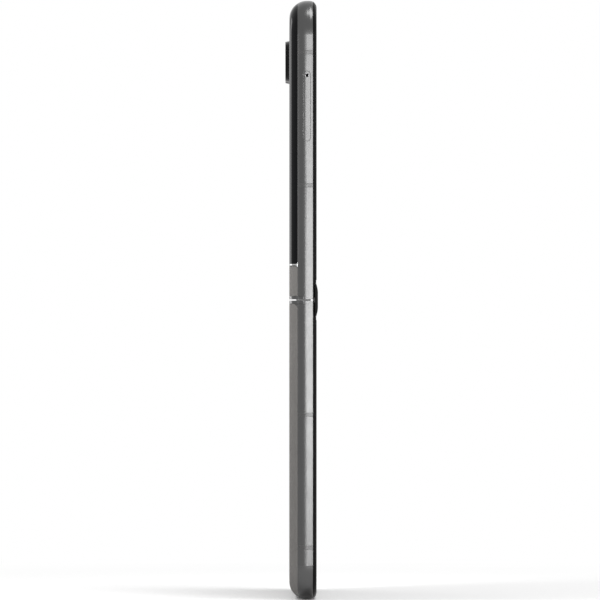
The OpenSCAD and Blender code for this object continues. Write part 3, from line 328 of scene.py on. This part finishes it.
def coil():
    """Flat-wound copper wire: rings about the coil's middle."""
    s = Surface("coil_wire", {"Metallic": 1.0})
    low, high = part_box("charging_coil")
    middle = (low + high) / 2
    reach = s.reach(middle.x, middle.z)
    turns = s.math("ABSOLUTE", s.math("SINE", s.math("MULTIPLY", reach, math.pi / 0.00055)))
    s.set("Base Color", s.mix(turns, colour(0.22, 0.08, 0.03), colour(0.85, 0.42, 0.2)))
    s.set("Roughness", s.remap(turns, (0.0, 1.0), (0.5, 0.26)))
    s.set("Normal", s.bump(turns, 0.0001, 0.8))
    return s.material


def ribbon():
    """Amber film with printed copper lines along its length."""
    s = Surface("ribbon_amber", {"IOR": 1.6})
    lines = s.math("SINE", s.math("MULTIPLY", s.axis("X"), 2 * math.pi / 0.0006))
    lines = s.remap(lines, (0.1, 0.5), (0.0, 1.0))
    film = s.mix(s.noise(180.0, 3.0), colour(0.36, 0.16, 0.03), colour(0.48, 0.23, 0.05))
    s.set("Base Color", s.mix(lines, film, colour(0.58, 0.3, 0.1)))
    s.set("Roughness", s.remap(lines, (0.0, 1.0), (0.22, 0.34)))
    s.set("Normal", s.bump(lines, 0.00002, 0.5))
    return s.material


def woven_mesh():
    """The dark woven cloth behind a loudspeaker hole."""
    s = Surface("speaker_cloth", {"IOR": 1.45})
    across = s.math("SINE", s.math("MULTIPLY", s.axis("X"), 2 * math.pi / 0.00016))
    along = s.math("SINE", s.math("MULTIPLY", s.axis("Y"), 2 * math.pi / 0.00016))
    weave = s.remap(s.math("MULTIPLY", across, along), (-1.0, 1.0), (0.0, 1.0))
    s.set("Base Color", s.mix(weave, grey(0.006), grey(0.05)))
    s.set("Roughness", s.remap(weave, (0.0, 1.0), (0.85, 0.6)))
    s.set("Normal", s.bump(weave, 0.00004, 0.9))
    return s.material


metal = blasted_metal("frame_graphite", 0.09, 0.24)
button_metal = blasted_metal("button_graphite", 0.1, 0.27, grain=6400.0)
ring_metal = blasted_metal("ring_graphite", 0.012, 0.24, grain=7000.0, depth=0.000003, wear=0.8)
spine_metal = blasted_metal("spine_graphite", 0.045, 0.24, grain=5600.0, wear=0.5)
# Painted highlight: the trim is the frame's graphite metal made far paler, standing in for the light
# it catches.
trim_painted_highlight_metal = blasted_metal("trim_painted_highlight", 0.42, 0.2, grain=7000.0, wear=0.3)
leather_grey = leather("leather_grey")
bezel_black = satin_plastic("bezel_satin", 0.0025, 0.3, ior=1.12)
rubber = satin_plastic("guard_rubber_dark", 0.0045, 0.62, grain=5200.0, depth=0.000012, ior=1.16,
                       round_edges=False)
antenna = satin_plastic("antenna_grey", 0.016, 0.27, ior=1.7, warm=0.02)
barrel_black = satin_plastic("barrel_black", 0.008, 0.5)
sound_black = satin_plastic("sound_matt", 0.012, 0.7, depth=0.00001)
steel = brushed_metal("steel_plain", (0.5, 0.5, 0.51), 0.3)
hinge_steel = brushed_metal("steel_hinge", (0.4, 0.4, 0.42), 0.27, (0.03, 1.0, 1.0))
screw_steel = brushed_metal("steel_screw", (0.22, 0.22, 0.23), 0.32)
blackened_steel = brushed_metal("steel_blackened", (0.012, 0.012, 0.013), 0.45)
brass = brushed_metal("brass_gear", (0.66, 0.5, 0.24), 0.28)
gold = brushed_metal("contact_gold", (0.86, 0.62, 0.25), 0.2)
black_screen = screen_glass()

FINISH = {
    "lower_frame upper_frame sim_tray": metal,
    "power_button volume_rocker": button_metal,
    "camera_rings": ring_metal,
    "spine_cover": spine_metal,
    "cover_trim": trim_painted_highlight_metal,
    "back_cover leather_strip": leather_grey,
    "cover_glass": cover_glass(),
    "lower_bezel upper_bezel": bezel_black,
    "lower_antenna_breaks upper_antenna_breaks": antenna,
    "camera_windows": lens_glass(),
    "main_camera wide_camera front_camera": barrel_black,
    "flash": satin_plastic("flash_holder", 0.3, 0.4, warm=0.03),
    "loudspeaker earpiece": sound_black,
    "usb_port tray_reader tray_ejector board_shields vibration_motor": steel,
    "eject_rod": blackened_steel,
    "hinge_bases friction_clips lower_hinge_leaves upper_hinge_leaves": hinge_steel,
    "lower_hinge_shafts upper_hinge_shafts": hinge_steel,
    "lower_screws upper_screws": screw_steel,
    "idler_gears_lower idler_gears_upper": brass,
    "main_board sub_board": circuit_board(),
    "lower_battery upper_battery": pouch(),
    "charging_coil": coil(),
    "lower_flex upper_flex side_switches hinge_flex": ribbon(),
    "cover_display display_lower display_upper display_fold": black_screen,
    "fold_guard_left fold_guard_right": rubber,
}
finish_of = {node: material for names, material in FINISH.items() for node in names.split()}
for name, obj in nodes.items():
    obj.data.materials.clear()
    obj.data.materials.append(finish_of[name])


# ---------------------------------------------------------------- pieces


def new_piece(name, bm, material):
    """An object from a bmesh, shaded smooth across gentle angles."""
    bmesh.ops.recalc_face_normals(bm, faces=bm.faces)
    mesh = bpy.data.meshes.new(name)
    bm.to_mesh(mesh)
    bm.free()
    if "custom_normal" in mesh.attributes:
        mesh.attributes.remove(mesh.attributes["custom_normal"])
    mesh.shade_smooth()
    mesh.set_sharp_from_angle(angle=math.radians(32))
    mesh.materials.append(material)
    obj = bpy.data.objects.new(name, mesh)
    scene.collection.objects.link(obj)
    return obj


def half_of(node, name, side, reach, bands=18, end=None, crease=0.0):
    """One side of a piece that bends at the fold: side is -1 below the seam and 1 above.

    end is the local z of the node's straight end, which is carried on to the seam.
    """
    bm = bmesh.new()
    bm.from_mesh(nodes[node].data)
    bmesh.ops.remove_doubles(bm, verts=bm.verts, dist=1e-7)
    seam = SEAM_Z * MM
    if end is None:
        bmesh.ops.bisect_plane(
            bm, geom=bm.verts[:] + bm.edges[:] + bm.faces[:], dist=1e-8,
            plane_co=(0, 0, seam), plane_no=(0, 0, -side), clear_outer=True)
        bmesh.ops.holes_fill(bm, edges=[e for e in bm.edges if e.is_boundary], sides=0)
    else:
        for v in bm.verts:
            if side * (v.co.z - seam) < (end + 0.01) * MM:
                v.co.z = seam
    for i in range(1, bands):
        at = seam + side * reach * MM * i / (bands - 1)
        bmesh.ops.bisect_plane(
            bm, geom=bm.verts[:] + bm.edges[:] + bm.faces[:], dist=1e-8,
            plane_co=(0, 0, at), plane_no=(0, 0, 1))
    front = min(v.co.y for v in bm.verts)
    for v in bm.verts:
        away = abs(v.co.z - seam) / (reach * MM)
        if away < 1 and v.co.y < front + 1e-6:
            v.co.y += crease * MM * (0.5 + 0.5 * math.cos(math.pi * away))
    obj = new_piece(name, bm, finish_of[node])
    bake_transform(obj)
    return obj


for side, word in ((-1, "lower"), (1, "upper")):
    panel = half_of("display_" + word, "screen_" + word, side, BEND_REACH,
                    end=SCREEN_SPLIT, crease=CREASE_DEPTH)
    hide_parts("display_" + word, "display_fold")
    for hand in ("left", "right"):
        guard = half_of("fold_guard_" + hand, f"guard_{hand}_{word}", side, GUARD_REACH)
        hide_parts("fold_guard_" + hand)
    cable = half_of("hinge_flex", "flex_" + word, side, BEND_REACH)
    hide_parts("hinge_flex")


def lathe(name, profile, centre, out, material, steps=64):
    """A turned piece. profile lists (radius, height) from end to end, with height along out."""
    out = Vector(out)
    side = out.orthogonal().normalized()
    other = out.cross(side)
    bm = bmesh.new()
    rings = []
    for radius, height in profile:
        middle = Vector(centre) + out * height
        count = 1 if radius == 0 else steps
        ring = []
        for i in range(count):
            angle = 2 * math.pi * i / steps
            spoke = side * math.cos(angle) + other * math.sin(angle)
            ring.append(bm.verts.new((middle + radius * spoke) * MM))
        rings.append(ring)
    for low, high in zip(rings, rings[1:]):
        for i in range(steps):
            corners = [low[i % len(low)], low[(i + 1) % len(low)]]
            corners += [high[(i + 1) % len(high)], high[i % len(high)]]
            bm.faces.new(list(dict.fromkeys(corners)))
    return new_piece(name, bm, material)


def dome(radius, height, base=0.0, thickness=0.12, steps=8):
    """The profile of a closed lens: flat underneath and arched on top."""
    quarter = math.pi / 2
    arc = []
    for i in range(steps):
        share = i / steps
        rise = (1 - math.cos(quarter * share)) ** 0.5
        arc.append((radius * math.sin(quarter * (1 - share)), base + height * rise))
    return [(0, base - thickness), (radius, base - thickness)] + arc + [(0, base + height)]


def baffle(top, bottom, depth, steps=5):
    """The profile of a stepped ring that lines a conical recess, down its face and back behind."""
    wall = 0.07
    points = [(top - wall, 0.0)]
    for i in range(steps):
        radius = top - wall - (top - bottom) * (i + 0.55) / steps
        level = -depth * (i + 0.7) / steps
        points += [(points[-1][0], level), (radius, level)]
    foot = -depth + 0.02
    back = [(points[-1][0], foot), (bottom - 0.02, foot), (top - 0.03, -0.01)]
    return points + back + [points[0]]


COATINGS = {"main": (colour(0.01, 0.03, 0.07), colour(0.05, 0.012, 0.06)),
            "wide": (colour(0.01, 0.045, 0.04), colour(0.03, 0.015, 0.07))}
for word, (x, mouth) in CAMERAS.items():
    pupil = mouth / 2 - 0.12
    centre = (x, CAMERA_MOUTH_Y, CAMERA_Z)
    ring = lathe(f"{word}_baffle", baffle(mouth, mouth / 2, CAMERA_DEPTH), centre, (0, 1, 0),
                 barrel_black)
    coat = coated_lens(f"{word}_coating", *COATINGS[word], x, CAMERA_Z, pupil)
    floor_of_cone = (x, CAMERA_MOUTH_Y - CAMERA_DEPTH + 0.13, CAMERA_Z)
    glass = lathe(f"{word}_lens", dome(pupil, 0.42), floor_of_cone, (0, 1, 0), coat)
    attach(ring, "upper_half")
    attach(glass, "upper_half")

fresnel = [(0, 0.0), (1.12, 0.0), (1.12, 0.1)]
for i in range(5):
    outer = 1.05 - 0.19 * i
    fresnel += [(outer, 0.12), (outer - 0.16, 0.2)]
fresnel += [(0, 0.24)]
led = lathe("flash_lens", fresnel, (FLASH_X, FLASH_FLOOR_Y + 0.01, CAMERA_Z), (0, 1, 0),
            flash_diffuser())
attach(led, "upper_half")

FRONT_RADIUS = 1.6
front_coat = coated_lens("front_coating", colour(0.006, 0.012, 0.03), colour(0.003, 0.003, 0.004),
                         0, PUNCH_Z, FRONT_RADIUS, ior=1.28, coat=0.25)
front_centre = (0, SCREEN_FRONT_Y + 0.046, PUNCH_Z)
front_lens = lathe("front_lens", dome(FRONT_RADIUS, 0.045, thickness=0.004), front_centre,
                   (0, -1, 0), front_coat)
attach(front_lens, "upper_half")

cloth = woven_mesh()
CLOTH_RADIUS = 0.64
CLOTH_Z = 0.85
for i, x in enumerate(SPEAKER_X):
    swell = dome(CLOTH_RADIUS, 0.08, thickness=0.05, steps=4)
    disc = lathe(f"speaker_cloth_{i + 1}", swell, (x, PORT_Y, CLOTH_Z), (0, 0, -1), cloth,
                 steps=32)
    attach(disc, "lower_half")


def contact_bars(name, count, pitch, width, side, lift, span):
    """A row of flat spring contacts with rounded noses, on one face of the port's tongue."""
    bm = bmesh.new()
    for i in range(count):
        x = (i - (count - 1) / 2) * pitch
        low, high = lift
        outline = [(span[0], low), (span[0] + 0.12, high), (span[1] - 0.05, high), (span[1], low)]
        rows = []
        for dx in (-width / 2, width / 2):
            corners = [((x + dx) * MM, (PORT_Y + side * y) * MM, z * MM) for z, y in outline]
            rows.append([bm.verts.new(corner) for corner in corners])
        for a in range(4):
            b = (a + 1) % 4
            bm.faces.new((rows[0][a], rows[0][b], rows[1][b], rows[1][a]))
        bm.faces.new(rows[0])
        bm.faces.new(rows[1])
    return new_piece(name, bm, gold)


CONTACTS = {"count": 12, "pitch": 0.5, "width": 0.26, "lift": (0.34, 0.39), "span": (2.62, 6.4)}
for side, word in ((-1, "front"), (1, "back")):
    bars = contact_bars(f"port_contacts_{word}", side=side, **CONTACTS)
    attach(bars, "lower_half")


# ---------------------------------------------------------------- stage, lights and camera


def light_path_mask(tree):
    """1 for camera, glossy and transmission rays, which see the plain background."""
    path = tree.nodes.new("ShaderNodeLightPath")
    value = path.outputs["Is Camera Ray"]
    for extra in ("Is Glossy Ray", "Is Transmission Ray"):
        top = tree.nodes.new("ShaderNodeMath")
        top.operation = "MAXIMUM"
        tree.links.new(value, top.inputs[0])
        tree.links.new(path.outputs[extra], top.inputs[1])
        value = top.outputs[0]
    return value


AMBIENT = 0.5
WHITE = 1.0
world = bpy.data.worlds.new("studio")
scene.world = world
world.use_nodes = True
sky = world.node_tree
sky.nodes.clear()
soft = sky.nodes.new("ShaderNodeBackground")
soft.inputs["Color"].default_value = grey(1.0)
soft.inputs["Strength"].default_value = AMBIENT
white = sky.nodes.new("ShaderNodeBackground")
white.inputs["Color"].default_value = grey(1.0)
white.inputs["Strength"].default_value = WHITE
choice = sky.nodes.new("ShaderNodeMixShader")
sky_out = sky.nodes.new("ShaderNodeOutputWorld")
sky.links.new(light_path_mask(sky), choice.inputs["Fac"])
sky.links.new(soft.outputs[0], choice.inputs[1])
sky.links.new(white.outputs[0], choice.inputs[2])
sky.links.new(choice.outputs[0], sky_out.inputs["Surface"])

# Seen directly or mirrored, the floor turns from lit paper to plain white between these reaches.
FLOOR_RADIUS = 3.0
PAPER_REACH = 0.07
WHITE_REACH = 0.26
bm = bmesh.new()
bmesh.ops.create_circle(bm, cap_ends=True, segments=96, radius=FLOOR_RADIUS)
floor_mesh = bpy.data.meshes.new("floor")
bm.to_mesh(floor_mesh)
bm.free()
floor = bpy.data.objects.new("floor", floor_mesh)
scene.collection.objects.link(floor)
paper = bpy.data.materials.new("floor_paper")
paper.use_nodes = True
tree = paper.node_tree
tree.nodes.clear()
plain = tree.nodes.new("ShaderNodeBsdfDiffuse")
plain.inputs["Color"].default_value = grey(0.9)
glow = tree.nodes.new("ShaderNodeEmission")
glow.inputs["Color"].default_value = grey(1.0)
glow.inputs["Strength"].default_value = WHITE
place = tree.nodes.new("ShaderNodeTexCoord")
reach = tree.nodes.new("ShaderNodeVectorMath")
reach.operation = "LENGTH"
fade = tree.nodes.new("ShaderNodeMapRange")
fade.interpolation_type = "SMOOTHSTEP"
fade.inputs["From Min"].default_value = PAPER_REACH
fade.inputs["From Max"].default_value = WHITE_REACH
seen = tree.nodes.new("ShaderNodeMath")
seen.operation = "MULTIPLY"
join = tree.nodes.new("ShaderNodeMixShader")
paper_out = tree.nodes.new("ShaderNodeOutputMaterial")
tree.links.new(place.outputs["Object"], reach.inputs[0])
tree.links.new(reach.outputs["Value"], fade.inputs["Value"])
tree.links.new(fade.outputs["Result"], seen.inputs[0])
tree.links.new(light_path_mask(tree), seen.inputs[1])
tree.links.new(seen.outputs[0], join.inputs["Fac"])
tree.links.new(plain.outputs[0], join.inputs[1])
tree.links.new(glow.outputs[0], join.inputs[2])
tree.links.new(join.outputs[0], paper_out.inputs["Surface"])
floor_mesh.materials.append(paper)


def towards(azimuth, elevation):
    a, e = math.radians(azimuth), math.radians(elevation)
    return Vector((math.sin(a) * math.cos(e), -math.cos(a) * math.cos(e), math.sin(e)))


def lamp(name, azimuth, elevation, distance, size, radiance, aim=(0.0, 0.0, 0.0857)):
    """A rectangular soft lamp that faces aim. Its power follows from its area and radiance."""
    data = bpy.data.lights.new(name, "AREA")
    data.shape = "RECTANGLE"
    data.size, data.size_y = size
    data.energy = radiance * math.pi * size[0] * size[1]
    obj = bpy.data.objects.new(name, data)
    scene.collection.objects.link(obj)
    away = towards(azimuth, elevation)
    obj.location = Vector(aim) + away * distance
    obj.rotation_mode = "QUATERNION"
    obj.rotation_quaternion = away.to_track_quat("Z", "Y")
    return obj


# Each: name, azimuth, elevation, distance, size, radiance. The strips make the rail's light band.
lamp("key", 278, 0, 0.9, (0.55, 0.24), 6.0, aim=(0.0, 0.0, 0.125))
lamp("key_low", 278, 0, 0.88, (0.54, 0.05), 9.0, aim=(0.0, 0.0, 0.029))
lamp("front_strip", 320, 0, 0.9, (0.84, 0.22), 5.8, aim=(0.0, 0.0, 0.125))
lamp("front_low", 320, 0, 0.88, (0.8, 0.05), 9.0, aim=(0.0, 0.0, 0.029))
lamp("overhead", 330, 72, 0.9, (0.5, 0.5), 6.0)
lamp("back_strip", 140, 0, 0.9, (0.24, 0.5), 4.2, aim=(0.0, 0.0, 0.2))
lamp("side_fill", 210, 0, 0.9, (0.12, 0.2), 1.8, aim=(0.0, 0.0, 0.19))

# The leather's own lamp gives matt light alone, since the photo's black glass doesn't mirror it.
leather_fill = lamp("leather_fill", 205, 35, 0.12, (0.05, 0.05), 19.0, aim=(0.0, 0.0, 0.1))
leather_fill.visible_glossy = False

CAMERA_AIM = Vector((0.0, 0.000845, 0.08565))
CAMERA_DISTANCE = 1.9084
NEAR_END_X = -0.027
camera = bpy.data.objects.new("camera", bpy.data.cameras.new("camera"))
camera.data.lens = 400.0
camera.data.sensor_width = 36.0
camera.data.clip_start = 0.1
camera.data.clip_end = 20.0
camera.location = CAMERA_AIM + Vector((NEAR_END_X - CAMERA_DISTANCE, 0.0, 0.0))
camera.rotation_euler = (math.radians(90), 0.0, math.radians(-90))
scene.collection.objects.link(camera)
scene.camera = camera
scene.view_settings.view_transform = "Standard"
